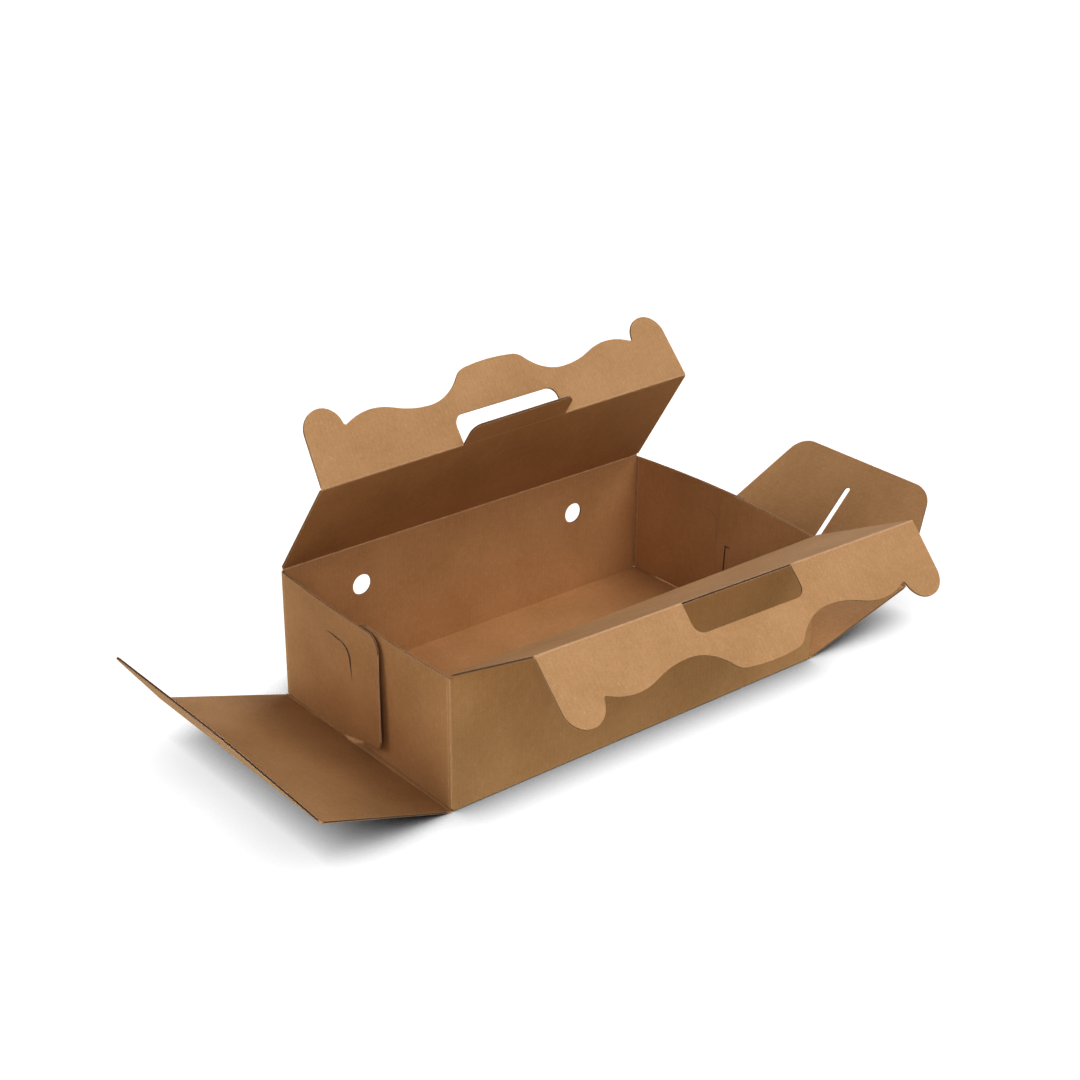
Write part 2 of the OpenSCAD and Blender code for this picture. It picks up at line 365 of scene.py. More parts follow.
def tip_outline(bm):
    corner = fillet((END_HALF, 0), (TIP_END_W / 2, TIP_LEN), (0, TIP_LEN), TIP_R)
    start = towards(Vector((END_HALF, 0)), Vector(corner[1]), FOLD_HALF)
    r = SLOT_W / 2
    draw(bm, (0, FOLD_HALF), start, corner[1], (corner[0], corner[2]), (0, TIP_LEN))
    end = Vector((0, SLOT_FAR - r))
    draw(bm, (0, SLOT_NEAR), (r, SLOT_NEAR), end + Vector((r, 0)), (end, Vector((0, SLOT_FAR))))
    mirrored(bm)


def flap_outline(bm, reach, level, rise, arch=0.0):
    """A corner flap: its bottom edge is level at first and then rises. Arch lifts the level part's middle."""
    knee, foot, top = (level, FLAP_BASE), (reach, FLAP_BASE + rise), (reach, FLAP_TOP)
    low = fillet(knee, foot, top, FLAP_BOTTOM_R)
    high = fillet(foot, top, (0, FLAP_TOP), FLAP_TOP_R)
    draw(
        bm,
        (GROOVE, FLAP_BASE),
        (ARCH_START * level, FLAP_BASE),
        (ARCH_FULL * level, FLAP_BASE + arch),
        (ARCH_END * level, FLAP_BASE + arch),
        knee,
        low[1],
        (low[0], low[2]),
        high[1],
        (high[0], high[2]),
        (GROOVE, FLAP_TOP),
        (GROOVE, FLAP_BASE),
    )
    close(bm)


def locking_cut(bm, width):
    """The curved slit in the outer flap: it gapes by width in its bend and closes towards both ends."""
    c = Vector((CUT_REACH - CUT_R, CUT_HIGH - CUT_R))
    draw(
        bm,
        (CUT_REACH, CUT_LOW),
        (CUT_REACH, c.y),
        (c, Vector((c.x, CUT_HIGH))),
        (c.x - CUT_RUN, CUT_HIGH),
        (c.x, CUT_HIGH - width),
        (c, Vector((CUT_REACH - width, c.y))),
        (CUT_REACH, CUT_LOW),
    )
    close(bm)


# Corrugated card: two liners with the fluted medium between them

def slice_up(bm, faces, axis, step, phase=0.0):
    """Cuts faces across an axis at every step, from low to high."""
    low = min(v.co[axis] for f in faces for v in f.verts)
    high = max(v.co[axis] for f in faces for v in f.verts)
    normal = (X, Y)[axis]
    done = []
    k = math.floor((low - phase) / step) + 1
    while phase + k * step < high - 2 * CUT_TOLERANCE:
        place = phase + k * step
        k += 1
        geom = set(faces)
        for f in faces:
            geom.update(f.verts)
            geom.update(f.edges)
        made = bmesh.ops.bisect_plane(
            bm, geom=list(geom), dist=CUT_TOLERANCE, plane_co=normal * place, plane_no=normal
        )
        cut = [g for g in made["geom"] if isinstance(g, bmesh.types.BMFace)]
        done += [f for f in cut if f.calc_center_median()[axis] < place]
        faces = [f for f in cut if f.calc_center_median()[axis] >= place]
        if not faces:
            break
    return done + faces


def sheet_copy(bm, faces):
    made = bmesh.ops.duplicate(bm, geom=faces)
    return [g for g in made["geom"] if isinstance(g, bmesh.types.BMFace)]


def thicken(bm, faces, low, thickness):
    """Turns a flat or fluted sheet into a closed slab whose lower side is moved to height low."""
    verts = {v for f in faces for v in f.verts}
    bmesh.ops.translate(bm, vec=(0, 0, low), verts=list(verts))
    made = bmesh.ops.extrude_face_region(bm, geom=faces, use_keep_orig=True)
    new = [g for g in made["geom"] if isinstance(g, bmesh.types.BMVert)]
    bmesh.ops.translate(bm, vec=(0, 0, thickness), verts=new)


def card(outline, flutes_across=0, phase=0.0, step=WARP_STEP):
    """A flat board of corrugated card in millimetres, with its flutes side by side along an axis."""
    bm = bmesh.new()
    outline(bm)
    bmesh.ops.triangle_fill(bm, use_beauty=True, use_dissolve=True, edges=bm.edges[:], normal=Z)
    faces = slice_up(bm, bm.faces[:], 1 - flutes_across, step)
    medium = sheet_copy(bm, faces)
    faces = slice_up(bm, faces, flutes_across, step)
    top = sheet_copy(bm, faces)
    medium = slice_up(bm, medium, flutes_across, FLUTE_PITCH / FLUTE_STEPS, phase)
    swing = BOARD / 2 - LINER - MEDIUM / 2
    for v in {v for f in medium for v in f.verts}:
        v.co.z = swing * math.sin((v.co[flutes_across] - phase) * 2 * math.pi / FLUTE_PITCH)
    for f in medium:
        f.material_index = FLUTE_SLOT
    thicken(bm, faces, -BOARD / 2, LINER)
    thicken(bm, top, BOARD / 2 - LINER, LINER)
    thicken(bm, medium, -MEDIUM / 2, MEDIUM)
    bmesh.ops.recalc_face_normals(bm, faces=bm.faces[:])
    for f in bm.faces:
        f.smooth = True
        if f.material_index == FACE_SLOT and abs(f.normal.z) < CUT_RISE:
            f.material_index = CUT_SLOT
    return bm


def blank_uv(bm, to_blank):
    """Writes each corner's place in the flat blank, in metres. The under side is set well apart."""
    uv = bm.loops.layers.uv.new("blank")
    for f in bm.faces:
        low = f.calc_center_median().z < 0
        for loop in f.loops:
            x, y = to_blank(loop.vert.co.x, loop.vert.co.y)
            loop[uv].uv = (x * MM + (UNDERSIDE if low else 0.0), y * MM)


def off_wall(side, start):
    """Blank map of a panel that a long wall carries: side is 1 at the back and -1 at the front."""
    return lambda x, y: (x, side * (start + y))


def off_floor(side, start):
    """Blank map of a panel that a short edge of the floor carries: side is -1 at the left."""
    return lambda x, y: (side * (start + y), x)


class Panel:
    """Where a board lies: its crease's middle, the way along it and the way off it, and its twist."""

    def __init__(self, origin, along, away, twist=0.0, half=1.0, carried=None):
        self.origin = Vector(origin)
        self.u = Vector(along).normalized()
        self.v = Vector(away).normalized()
        self.n = self.u.cross(self.v)
        self.twist = math.tan(math.radians(twist)) / half
        self.carried = carried

    def rise(self, x, y):
        return self.twist * x * y

    def lift(self, x):
        """How far a warped carrier moves this panel's crease at x."""
        if self.carried is None:
            return Vector((0, 0, 0))
        panel, length = self.carried
        return panel.n * panel.rise(x, length) + panel.lift(x)

    def at(self, x, y, z):
        return self.origin + self.u * x + self.v * y + self.n * (z + self.rise(x, y)) + self.lift(x)


def lay(bm, panel):
    for v in bm.verts:
        v.co = panel.at(*v.co) * MM


def direction(axis, angle):
    """A level axis turned up by an angle."""
    a = math.radians(angle)
    return axis * math.cos(a) + Z * math.sin(a)


def long_panel(joint, angle, twist, carrier=None):
    """A panel whose crease runs along the box. It may be carried by another one's far edge."""
    carried = (carrier, ROOF_LEN) if carrier else None
    return Panel(crease(joint), X, direction(Y, angle), twist, ROOF_HALF, carried)


back_roof = long_panel("back_roof_crease", BACK_ROOF_A, BACK_ROOF_TWIST)
back_handle = long_panel("back_handle_crease", BACK_HANDLE_A, BACK_HANDLE_TWIST, back_roof)
front_roof = long_panel("front_roof_crease", FRONT_ROOF_A, FRONT_ROOF_TWIST)
front_handle = long_panel("front_handle_crease", FRONT_HANDLE_A, FRONT_HANDLE_TWIST, front_roof)
ends, tips = {}, {}
for side, out in (("left", -1), ("right", 1)):
    ends[side] = Panel(crease(side + "_end_crease"), Y * -out, direction(X * out, END_A[side]))
    tips[side] = Panel(crease(side + "_tip_crease"), Y * -out, direction(X * out, TIP_A[side]))
floor = Panel((0, 0, BOARD / 2), X, Y)
back_wall = Panel((0, WALL_MID, 0), X, Z)
front_wall = Panel((0, -WALL_MID, 0), X, Z)


# Paper

KRAFT, DEEP_KRAFT = (0.64, 0.43, 0.217), (0.50, 0.31, 0.135)
CUT_PALE, CUT_DEEP = (0.76, 0.60, 0.43), (0.54, 0.38, 0.24)
FLUTE_PALE, FLUTE_DEEP = (0.52, 0.37, 0.23), (0.36, 0.24, 0.13)
# Pale crease paper: part wear, part painted highlight along a fold's ridge
WEAR_AND_HIGHLIGHT_PAPER = (0.84, 0.66, 0.45)
DARK_FLECK = (0.20, 0.12, 0.06)
PALE_FLECK = (0.78, 0.62, 0.43)

# Grain of a liner and of a raw cut: cells in a metre
CLOUD, MOTTLE = 22.0, 190.0
FIBRES_LONG, FIBRES_CROSS = 1500.0, 1700.0
DARK_FLECKS, PALE_FLECKS = 900.0, 760.0
CUT_FRAY, CUT_DRIFT = 2600.0, 60.0

# The part of a noise that counts: nearly all of it, or its peaks only
MOST = (0.3, 0.7)
PEAKS = (0.72, 0.80)

# Pale lines along the creases, part wear and part painted highlight where a fold's ridge catches light, in
# metres
# from the line: full to none. Those of the roofs show on the inside only, and a corner fold's lies a little
# to the end wall's side.
FOLD_WEAR_AND_HIGHLIGHT = (0.0002, 0.0009, 0.5, 0.0)
ROOF_WEAR_AND_HIGHLIGHT = (0.0006, 0.0014, 0.7, 0.0)
CORNER_WEAR_AND_HIGHLIGHT_OFF = 1.0


class Wiring:
    """Short calls for the nodes of one material."""

    def __init__(self, name):
        self.material = bpy.data.materials.new(name)
        self.material.use_nodes = True
        self.nodes = self.material.node_tree.nodes
        self.links = self.material.node_tree.links
        self.shader = self.nodes["Principled BSDF"]

    def node(self, kind, inputs=None, **settings):
        made = self.nodes.new(kind)
        for key, value in settings.items():
            setattr(made, key, value)
        for key, value in (inputs or {}).items():
            if isinstance(value, bpy.types.NodeSocket):
                self.links.new(value, made.inputs[key])
            else:
                made.inputs[key].default_value = value
        return made

    def noise(self, vector, scale, detail=2.0, rough=0.5):
        return self.node(
            "ShaderNodeTexNoise",
            {"Vector": vector, "Scale": scale, "Detail": detail, "Roughness": rough},
            noise_dimensions="2D",
        ).outputs["Fac"]

    def mapped(self, vector, scale, turn):
        return self.node(
            "ShaderNodeMapping", {"Vector": vector, "Scale": scale, "Rotation": (0, 0, turn)}
        ).outputs["Vector"]

    def span(self, value, low, high, to_low, to_high):
        return self.node(
            "ShaderNodeMapRange",
            {"Value": value, "From Min": low, "From Max": high, "To Min": to_low, "To Max": to_high},
        ).outputs["Result"]

    def calc(self, a, b, operation="ADD"):
        return self.node("ShaderNodeMath", {0: a, 1: b}, operation=operation).outputs["Value"]

    def blend(self, factor, a, b):
        """A mix of two colours by a factor that another node gives."""
        made = self.node("ShaderNodeMix", data_type="RGBA")
        for socket, value in ((made.inputs[0], factor), (made.inputs[6], a), (made.inputs[7], b)):
            if isinstance(value, bpy.types.NodeSocket):
                self.links.new(value, socket)
            else:
                socket.default_value = (*value, 1)
        return made.outputs[2]


def fold_wear_and_highlight(w, x, y):
    """How pale a bent liner is, from wear and a painted highlight along the fold's ridge: it shows along the
    blank's fold lines, and not a millimetre or two away.
    """
    under = w.calc(w.calc(x, UNDERSIDE / 2, "GREATER_THAN"), UNDERSIDE, "MULTIPLY")
    across = w.calc(w.calc(x, under, "SUBTRACT"), 0.0, "ABSOLUTE")
    along = w.calc(y, 0.0, "ABSOLUTE")

    # A line's distance is put a metre off where the line isn't: beside the floor or on the sheet's other side
    outside = w.calc(along, BOX_W / 2 * MM, "GREATER_THAN")
    handle_fold = w.calc(along, (WALL_TO + ROOF_LEN) * MM, "SUBTRACT")
    tip_fold = w.calc(w.calc(across, (END_X + END_LEN) * MM, "SUBTRACT"), outside)
    past_corner = w.calc(across, (CORNER_FOLD + CORNER_WEAR_AND_HIGHLIGHT_OFF) * MM - 1, "SUBTRACT")
    corner_fold = w.calc(past_corner, outside, "SUBTRACT")
    near = 1.0
    for off in (handle_fold, tip_fold, corner_fold):
        near = w.calc(w.calc(off, 0.0, "ABSOLUTE"), near, "MINIMUM")
    roof_fold = w.calc(w.calc(w.calc(along, WALL_TO * MM, "SUBTRACT"), 0.0, "ABSOLUTE"), under)
    return w.calc(w.span(near, *FOLD_WEAR_AND_HIGHLIGHT), w.span(roof_fold, *ROOF_WEAR_AND_HIGHLIGHT))


def kraft_face(name):
    """Kraft liner: cloudy, with crossing fibres and flecks. The flutes below make a faint bump, and painted
    shade in faint stripes along them.
    """
    w = Wiring(name)
    uv = w.node("ShaderNodeUVMap", uv_map="blank").outputs["UV"]
    cloud = w.noise(uv, CLOUD, 3.0)
    mottle = w.noise(uv, MOTTLE, 4.0, 0.6)
    lengthways = w.mapped(uv, (0.35, 1.0, 1.0), 0.5)
    crossways = w.mapped(uv, (1.0, 0.3, 1.0), 0.3)
    fibre_a = w.noise(lengthways, FIBRES_LONG, 2.0)
    fibre_b = w.noise(crossways, FIBRES_CROSS, 2.0)
    place = w.node("ShaderNodeSeparateXYZ", {"Vector": uv})
    x, y = place.outputs["X"], place.outputs["Y"]
    ridge = w.calc(w.calc(x, 2 * math.pi / (FLUTE_PITCH * MM), "MULTIPLY"), 0.0, "SINE")
    shade = w.calc(w.span(cloud, *MOST, -0.16, 0.16), w.span(mottle, *MOST, -0.1, 0.1))
    shade = w.calc(shade, w.calc(w.span(fibre_a, *MOST, -0.1, 0.1), w.span(fibre_b, *MOST, -0.1, 0.1)))
    # The flute wave also darkens and lightens the colour in faint stripes: painted shade of the flute ridges,
    # on top of the bump below.
    shade = w.calc(shade, w.calc(ridge, 0.03, "MULTIPLY"))
    base = w.blend(w.calc(shade, 0.32), KRAFT, DEEP_KRAFT)
    dark_flecks = w.span(w.noise(lengthways, DARK_FLECKS, 1.0), *PEAKS, 0.0, 0.16)
    pale_flecks = w.span(w.noise(crossways, PALE_FLECKS, 1.0), *PEAKS, 0.0, 0.3)
    base = w.blend(dark_flecks, base, DARK_FLECK)
    base = w.blend(pale_flecks, base, PALE_FLECK)
    # Pale crease lines, mottled: part wear, part painted highlight along a fold's ridge
    wear_and_highlight = w.calc(fold_wear_and_highlight(w, x, y), w.span(mottle, 0.35, 0.65, 0.2, 0.9), "MULTIPLY")
    base = w.blend(wear_and_highlight, base, WEAR_AND_HIGHLIGHT_PAPER)
    w.links.new(base, w.shader.inputs["Base Color"])
    w.links.new(w.span(fibre_a, *MOST, 0.62, 0.78), w.shader.inputs["Roughness"])
    w.shader.inputs["Specular IOR Level"].default_value = 0.4
    height = w.calc(w.calc(ridge, 0.35, "MULTIPLY"), w.calc(fibre_a, fibre_b))
    bump = w.node("ShaderNodeBump", {"Height": height, "Strength": 0.35, "Distance": 0.00006})
    w.links.new(bump.outputs["Normal"], w.shader.inputs["Normal"])
    return w.material


def kraft_cut(name, pale, deep):
    """The raw cut through a paper: fibrous and uneven."""
    w = Wiring(name)
    place = w.node("ShaderNodeTexCoord").outputs["Object"]
    fray = w.node("ShaderNodeTexNoise", {"Vector": place, "Scale": CUT_FRAY, "Detail": 2.0}).outputs["Fac"]
    drift = w.node("ShaderNodeTexNoise", {"Vector": place, "Scale": CUT_DRIFT, "Detail": 2.0}).outputs["Fac"]
    shade = w.calc(w.span(fray, *MOST, 0.0, 0.7), w.span(drift, *MOST, 0.0, 0.3))
    base = w.blend(shade, pale, deep)
    w.links.new(base, w.shader.inputs["Base Color"])
    w.shader.inputs["Roughness"].default_value = 0.95
    w.shader.inputs["Specular IOR Level"].default_value = 0.1
    bump = w.node("ShaderNodeBump", {"Height": fray, "Strength": 0.5, "Distance": 0.00005})
    w.links.new(bump.outputs["Normal"], w.shader.inputs["Normal"])
    return w.material


face_paper = kraft_face("kraft_liner")
cut_paper = kraft_cut("kraft_cut_edge", CUT_PALE, CUT_DEEP)
flute_paper = kraft_cut("kraft_flutes", FLUTE_PALE, FLUTE_DEEP)


def add_piece(name, bm, body):
    """Makes an object of a finished bmesh, with the three papers. A moving fold is made without a body."""
    for e in bm.edges:
        if len(e.link_faces) == 2 and e.calc_face_angle(0) > math.radians(SHARP_ANGLE):
            e.smooth = False
    mesh = bpy.data.meshes.new(name)
    bm.to_mesh(mesh)
    bm.free()
    for paper in (face_paper, cut_paper, flute_paper):
        mesh.materials.append(paper)
    piece = bpy.data.objects.new(name, mesh)
    bpy.context.scene.collection.objects.link(piece)
    if body:
        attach(piece, body)
    return piece


def merge(into, bm):
    """Adds one bmesh to another."""
    mesh = bpy.data.meshes.new("merge")
    bm.to_mesh(mesh)
    bm.free()
    into.from_mesh(mesh)
    bpy.data.meshes.remove(mesh)


# Boards that swing

def board(name, outline, panel, node, to_blank, flutes_across=0, phase=0.0):
    bm = card(outline, flutes_across, phase)
    blank_uv(bm, to_blank)
    lay(bm, panel)
    piece = add_piece(name, bm, node)
    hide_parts(node)
    return piece


board("back_roof_board", back_roof_outline, back_roof, "back_roof_panel",
      off_wall(1, WALL_TO))
board("front_roof_board", front_roof_outline, front_roof, "front_roof_panel",
      off_wall(-1, WALL_TO))
board("back_handle_board", lambda bm: handle_outline(bm, BACK_HOLE), back_handle, "back_handle_panel",
      off_wall(1, WALL_TO + ROOF_LEN))
board("front_handle_board", lambda bm: handle_outline(bm, FRONT_HOLE), front_handle, "front_handle_panel",
      off_wall(-1, WALL_TO + ROOF_LEN))
for side, out in (("left", -1), ("right", 1)):
    board(side + "_end_board", end_outline, ends[side], side + "_end_panel",
          off_floor(out, END_X), 1, -END_X)
    board(side + "_tip_board", tip_outline, tips[side], side + "_tip_panel",
          off_floor(out, END_X + END_LEN), 1, -END_X - END_LEN)


# The tray's boards and its fixed folds

def flat_grid(bm, x, y, half_x, half_y, columns, rows, z=0.0):
    """A flat rectangle about a middle, divided into columns and rows."""
    matrix = Matrix.Translation((x, y, z)) @ Matrix.Diagonal((half_x, half_y, 1, 1))
    bmesh.ops.create_grid(bm, x_segments=columns, y_segments=rows, size=1, matrix=matrix)


def crushed_edge(bm, x, low, high):
    """A pale solid rim along an upright free edge, where the cutting rule has pressed the liners together."""
    rim = bmesh.new()
    flat_grid(rim, x - EDGE_RIM / 2, (low + high) / 2, EDGE_RIM / 2, (high - low) / 2, 1, EDGE_ROWS)
    thicken(rim, rim.faces[:], SINK - BOARD / 2, BOARD - 2 * SINK)
    bmesh.ops.recalc_face_normals(rim, faces=rim.faces[:])
    for f in rim.faces:
        f.material_index = CUT_SLOT
    merge(bm, rim)


def tray_card(into, outline, panel, to_blank, phase=0.0, step=FLAT_STEP, shift=None, edge=None):
    """Lays one of the tray's boards. Shift gives how far each of its points stands out from flat."""
    bm = card(outline, 0, phase, step)
    if edge:
        crushed_edge(bm, *edge)
    blank_uv(bm, to_blank)
    if shift:
        moved = [(v, shift(v.co.x, v.co.y)) for v in bm.verts]
        lay(bm, panel)
        for v, way in moved:
            v.co.x += way * MM
    else:
        lay(bm, panel)
    merge(into, bm)


def long_wall_outline(bm):
    """A long wall stops short of the corner grooves, and is full length only below the flaps."""
    top = BOX_H - FOLD_HALF
    full, short = CORNER_X, CORNER_X - GROOVE
    draw(
        bm,
        (0, BOARD),
        (full, BOARD),
        (full, FLAP_BASE),
        (short, FLAP_BASE),
        (short, top),
        (0, top),
    )
    mirrored(bm)


def back_wall_outline(bm):
    long_wall_outline(bm)
    for s in (-1, 1):
        circle(bm, s * VENT_SPACING / 2, VENT_Z, VENT_D / 2)


def belly(side, x, z):
    """How far an end wall stands out at distance x from a corner fold and height z."""
    across = max(0.0, 1 - ((CORNER_Y - x) / CORNER_Y) ** 2)
    return side * across * (FOOT_BULGE + (BULGE[side] - FOOT_BULGE) * (z / BOX_H) ** BULGE_POWER)


def outer_shift(side, x, z):
    """The outer flap's free end also springs outwards, most of all at its foot."""
    near = max(0.0, 1 - (OUTER_REACH - x) / OUTER_LIFT_RUN)
    held = 1 - OUTER_LIFT_LOSS * (z / BOX_H) ** OUTER_LIFT_POWER
    return belly(side, x, z) + side * OUTER_LIFT * near ** 2 * held


def flap_panel(x_side, y_side, lean):
    start = Vector((x_side * (CORNER_X + BOARD / 2), y_side * CORNER_Y, 0))
    a = math.radians(lean)
    return Panel(start, (x_side * math.sin(a), -y_side * math.cos(a), 0), Z)


def outer_flap_outline(bm, width):
    flap_outline(bm, OUTER_REACH, OUTER_LEVEL, OUTER_RISE, arch=FLAP_ARCH)
    locking_cut(bm, width)


def inner_flap_outline(bm):
    """The inner flap and its hooked slit, the locking cut's counterpart."""
    flap_outline(bm, INNER_REACH, INNER_LEVEL, 0)
    near, far, hook = SLIT_REACH - SLIT_W / 2, SLIT_REACH + SLIT_W / 2, SLIT_REACH - SLIT_HOOK
    draw(
        bm,
        (near, SLIT_LOW),
        (far, SLIT_LOW),
        (far, SLIT_HIGH),
        (hook, SLIT_HIGH),
        (hook, SLIT_HIGH - SLIT_W),
        (near, SLIT_HIGH - SLIT_W),
        (near, SLIT_LOW),
    )
    close(bm)


tray = bmesh.new()
end_edge = END_X - FOLD_HALF
tray_card(tray, lambda bm: rectangle(bm, -end_edge, end_edge, -CORNER_Y, CORNER_Y), floor,
          lambda x, y: (x, y))
tray_card(tray, back_wall_outline, back_wall, off_wall(1, BOX_W / 2))
tray_card(tray, long_wall_outline, front_wall, off_wall(-1, BOX_W / 2))
for s in (-1, 1):
    tray_card(tray, lambda bm: outer_flap_outline(bm, CUT_W[s]), flap_panel(s, 1, OUTER_LEAN),
              lambda x, y: (s * (BOX_L / 2 + x), BOX_W / 2 + y), -BOX_L / 2, FLAP_STEP,
              lambda x, z: outer_shift(s, x, z),
              (OUTER_REACH + SINK, OUTER_EDGE_LOW, FLAP_TOP - FLAP_TOP_R))
    tray_card(tray, inner_flap_outline, flap_panel(s, -1, -INNER_LEAN[s]),
              lambda x, y: (s * (BOX_L / 2 + x), -BOX_W / 2 - y), -BOX_L / 2, FLAP_STEP,
              lambda x, z: belly(s, x, z))
tray_board = add_piece("tray_board", tray, "tray")
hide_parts("tray")


def fold_place(p):
    """How far from a corner fold's middle a point lies in the blank. The whole groove is one place there."""
    dx, dy = abs(p.x) - CORNER_X, abs(p.y) - CORNER_Y
    return dx - dy if math.hypot(dx, dy) > (BOARD + GROOVE_DEPTH) / 2 else BOARD


def stretch(bm, face, way):
    """Lengthens a fold beyond its end face. The edges go with the face, so that none is left inside."""
    made = bmesh.ops.extrude_face_region(bm, geom=[face, *face.edges, *face.verts])
    bmesh.ops.translate(bm, vec=way, verts=[g for g in made["geom"] if isinstance(g, bmesh.types.BMVert)])


def quarter(into, centre, axis, first, length, inner=FLOOR_FOLD_R, lap=0.0):
    """A quarter-round fold: its section is spun about the inner corner. Only a corner fold has laps."""
    bm = bmesh.new()
    a, n, c = Vector(axis), Vector(first), Vector(centre)
    corners = [c + n * inner, c + n * BOARD, c + n * BOARD + a * length, c + n * inner + a * length]
    first_face = bm.faces.new([bm.verts.new(p) for p in corners])
    section = bm.verts[:] + bm.edges[:] + bm.faces[:]
    made = bmesh.ops.spin(bm, geom=section, cent=c, axis=a, angle=math.pi / 2, steps=CORNER_ROWS)
    if lap:
        last_face = [g for g in made["geom_last"] if isinstance(g, bmesh.types.BMFace)][0]
        stretch(bm, last_face, -n * lap)
        stretch(bm, first_face, -a.cross(n) * lap)
    bmesh.ops.remove_doubles(bm, verts=bm.verts, dist=WELD)
    bmesh.ops.recalc_face_normals(bm, faces=bm.faces[:])
    uv = bm.loops.layers.uv.new("blank")
    for f in bm.faces:
        f.smooth = True
        for loop in f.loops:
            p = loop.vert.co
            place = (CORNER_FOLD + fold_place(p), BOX_W / 2 + p.z) if lap else (p.x, BOX_W / 2)
            loop[uv].uv = Vector(place) * MM
    bmesh.ops.scale(bm, vec=(MM, MM, MM), verts=bm.verts)
    merge(into, bm)


folds = bmesh.new()
quarter(folds, (-CORNER_X, CORNER_Y, BOARD), X, -Z, 2 * CORNER_X)
quarter(folds, (CORNER_X, -CORNER_Y, BOARD), -X, -Z, 2 * CORNER_X)
rise = FLAP_TOP - FLAP_BASE
for corner, way in (((1, 1), X), ((-1, 1), Y), ((-1, -1), -X), ((1, -1), -Y)):
    foot = (corner[0] * CORNER_X, corner[1] * CORNER_Y, FLAP_BASE)
    quarter(folds, foot, Z, way, rise, GROOVE_DEPTH, GROOVE)
add_piece("tray_folds", folds, "tray")


# Folds that move

def moving_fold(name, parent, child, spans, to_blank):
    bend = parent.v.angle(child.v)
    if parent.v.cross(child.v).dot(parent.u) < 0:
        bend = -bend
    whole = bmesh.new()
    half = FOLD_HALF + FOLD_LAP
    for x0, x1 in spans:
        bm = bmesh.new()
        across = max(1, round((x1 - x0) / WARP_STEP))
        flat_grid(bm, (x0 + x1) / 2, 0, (x1 - x0) / 2, half, across, FOLD_ROWS, -0.5)
        thicken(bm, bm.faces[:], 0, 1)
        bmesh.ops.recalc_face_normals(bm, faces=bm.faces[:])
        for v in bm.verts:
            t = min(1.0, abs(v.co.y) / FOLD_HALF)
            v.co.z *= 2 * (BOARD / 2 - SINK - FOLD_PRESS * (1 - t * t))
        for f in bm.faces:
            f.smooth = True
        merge(whole, bm)
    blank_uv(whole, to_blank)
    hinge = child.origin
    for v in whole.verts:
        x, s, z = v.co
        t = min(1.0, max(0.0, (s + FOLD_HALF) / (2 * FOLD_HALF)))
        turn = Matrix.Rotation(bend * t * t * (3 - 2 * t), 3, parent.u)
        warp = parent.twist * x * s if s < 0 else child.twist * x * s
        v.co = (hinge + parent.u * x + turn @ (parent.v * s + parent.n * (z + warp)) + child.lift(x)) * MM
    piece = add_piece(name, whole, None)
    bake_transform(piece)
    return piece


back_hole_half = BACK_HOLE[0] / 2
front_hole_half = FRONT_HOLE[0] / 2
side_x = BOX_L / 2 - HANDLE_INSET
moving_fold("back_roof_fold", back_wall, back_roof, [(-CORNER_X, CORNER_X)],
            off_wall(1, WALL_TO))
moving_fold("front_roof_fold", front_wall, front_roof, [(-CORNER_X, CORNER_X)],
            off_wall(-1, WALL_TO))
moving_fold("back_handle_fold", back_roof, back_handle,
            [(-side_x, -back_hole_half), (back_hole_half, side_x)],
            off_wall(1, WALL_TO + ROOF_LEN))
moving_fold("front_handle_fold", front_roof, front_handle,
            [(-side_x, -front_hole_half), (front_hole_half, side_x)],
            off_wall(-1, WALL_TO + ROOF_LEN))
for side, out in (("left", -1), ("right", 1)):
    level = Panel((0, 0, BOARD / 2), Y * -out, X * out)
    moving_fold(side + "_end_fold", level, ends[side], [(-END_HALF, END_HALF)],
                off_floor(out, END_X))
    moving_fold(side + "_tip_fold", ends[side], tips[side], [(-END_HALF, END_HALF)],
                off_floor(out, END_X + END_LEN))


# Studio, in metres: a white sweep that glows, with painted contact shadow, the light that a white table
# throws back, and five softboxes

SWEEP_R, SWEEP_BEND, SWEEP_H = 6.0, 2.0, 5.0
SWEEP_STEPS = 48

# The floor's glow and its painted contact shadow: the open share of its surroundings near and further off,
# each weighted, less a constant
NEAR_SHADE, WIDE_SHADE = 0.03, 0.06
NEAR_WEIGHT, WIDE_WEIGHT = 0.8, 0.4
SHADE_DEPTH = 0.1

TABLE_LIGHT = 0.91
TABLE_TINT = (1.0, 0.985, 0.97)
HORIZON = 0.02

# The photograph's contrast, set as the gamma of the view
CONTRAST = 0.625

# Softboxes: compass angle, height angle and power
LAMP_TINT = (0.985, 1.0, 1.18)
LAMP_D = 1.6
LAMP_DISTANCE = 2.4
LAMP_AIM = Vector((0, 0, 0.08))
SOFTBOXES = {
    "left_softbox": (-108, 29, 19.0),
    "near_softbox": (-42, 32, 22.0),
    "front_softbox": (20, 50, 20.0),
    "high_softbox": (52, 56, 19.0),
    "far_softbox": (120, 31, 19.5),
}


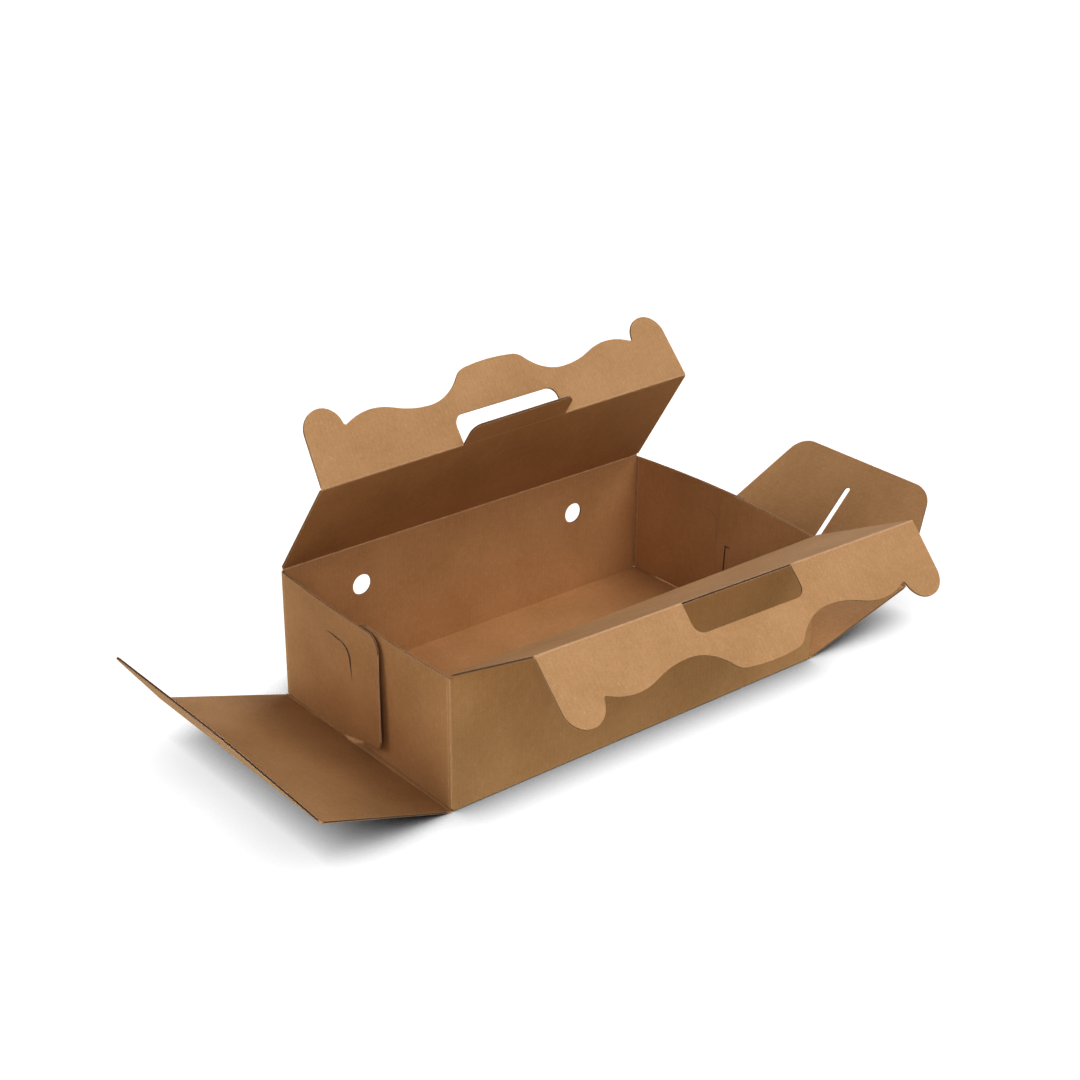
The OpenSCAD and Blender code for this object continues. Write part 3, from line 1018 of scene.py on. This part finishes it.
def studio_floor():
    """A round white floor that sweeps up into a wall. The lamps don't light it: it glows, with the contact
    shadow of what it bears painted into its glow.
    """
    bm = bmesh.new()
    bend = SWEEP_R - SWEEP_BEND
    rise = (Vector((bend, SWEEP_BEND)), Vector((SWEEP_R, SWEEP_BEND)))
    draw(bm, (0, 0), (bend, 0), rise, (SWEEP_R, SWEEP_H))
    bmesh.ops.rotate(bm, verts=bm.verts, matrix=Matrix.Rotation(math.pi / 2, 3, "X"))
    profile = bm.verts[:] + bm.edges[:]
    bmesh.ops.spin(bm, geom=profile, axis=Z, angle=2 * math.pi, steps=SWEEP_STEPS, use_merge=True)
    bmesh.ops.remove_doubles(bm, verts=bm.verts, dist=WELD)
    mesh = bpy.data.meshes.new("studio_floor")
    bm.to_mesh(mesh)
    bm.free()
    ground = bpy.data.objects.new("studio_floor", mesh)
    bpy.context.scene.collection.objects.link(ground)
    w = Wiring("studio_white_painted_shadow")
    # Painted contact shadow: the glow is dimmed where nearby parts close the floor in
    near = w.node("ShaderNodeAmbientOcclusion", {"Distance": NEAR_SHADE}, samples=3).outputs["AO"]
    wide = w.node("ShaderNodeAmbientOcclusion", {"Distance": WIDE_SHADE}, samples=3).outputs["AO"]
    light = w.calc(w.calc(near, NEAR_WEIGHT, "MULTIPLY"), w.calc(wide, WIDE_WEIGHT, "MULTIPLY"))
    w.shader.inputs["Base Color"].default_value = (0, 0, 0, 1)
    w.shader.inputs["Roughness"].default_value = 1.0
    w.shader.inputs["Specular IOR Level"].default_value = 0.0
    w.shader.inputs["Emission Color"].default_value = (1, 1, 1, 1)
    w.links.new(w.calc(light, -SHADE_DEPTH), w.shader.inputs["Emission Strength"])
    mesh.materials.append(w.material)
    ground.visible_diffuse = False
    ground.visible_glossy = False
    ground.visible_shadow = False


def studio_air():
    """Dark above and bright below: the light that a white table throws back."""
    world = bpy.data.worlds.new("studio_air")
    bpy.context.scene.world = world
    world.use_nodes = True
    nodes, links = world.node_tree.nodes, world.node_tree.links
    way = nodes.new("ShaderNodeTexCoord")
    parts = nodes.new("ShaderNodeSeparateXYZ")
    level = nodes.new("ShaderNodeMapRange")
    links.new(way.outputs["Generated"], parts.inputs["Vector"])
    links.new(parts.outputs["Z"], level.inputs["Value"])
    fall = {"From Min": -HORIZON, "From Max": HORIZON, "To Min": TABLE_LIGHT, "To Max": 0.0}
    for key, value in fall.items():
        level.inputs[key].default_value = value
    links.new(level.outputs["Result"], nodes["Background"].inputs["Strength"])
    nodes["Background"].inputs["Color"].default_value = (*TABLE_TINT, 1)


def softbox(name, azimuth, height, power):
    """A round lamp that looks at the box from two angles in degrees."""
    light = bpy.data.lights.new(name, "AREA")
    light.shape = "DISK"
    light.size = LAMP_D
    light.energy = power
    light.color = LAMP_TINT
    lamp = bpy.data.objects.new(name, light)
    bpy.context.scene.collection.objects.link(lamp)
    a, h = math.radians(azimuth), math.radians(height)
    way = Vector((math.sin(a) * math.cos(h), -math.cos(a) * math.cos(h), math.sin(h)))
    lamp.location = LAMP_AIM + way * LAMP_DISTANCE
    lamp.rotation_euler = (-way).to_track_quat("-Z", "Y").to_euler()
    lamp.visible_camera = False


def photo_camera():
    """The camera that was fitted to the corners of the box in the photograph."""
    azimuth, height, roll = math.radians(-39.21), math.radians(25.40), math.radians(0.26)
    distance = 1.478
    target = Vector((0.0194, 0.0396, 0.0895))
    level = math.cos(height)
    back = Vector((math.sin(azimuth) * level, -math.cos(azimuth) * level, math.sin(height)))
    right = (-back).cross(Z).normalized()
    up = right.cross(-back)
    right, up = right * math.cos(roll) + up * math.sin(roll), up * math.cos(roll) - right * math.sin(roll)
    data = bpy.data.cameras.new("photo_camera")
    data.lens = 67.75
    data.sensor_width = 36.0
    data.clip_end = 50
    view = bpy.data.objects.new("photo_camera", data)
    bpy.context.scene.collection.objects.link(view)
    turn = Matrix((right, up, back)).transposed().to_4x4()
    view.matrix_world = Matrix.Translation(target + back * distance) @ turn
    bpy.context.scene.camera = view


studio_floor()
studio_air()
for name, (azimuth, height, power) in SOFTBOXES.items():
    softbox(name, azimuth, height, power)
photo_camera()
bpy.context.scene.view_settings.view_transform = "Standard"
bpy.context.scene.view_settings.gamma = CONTRAST
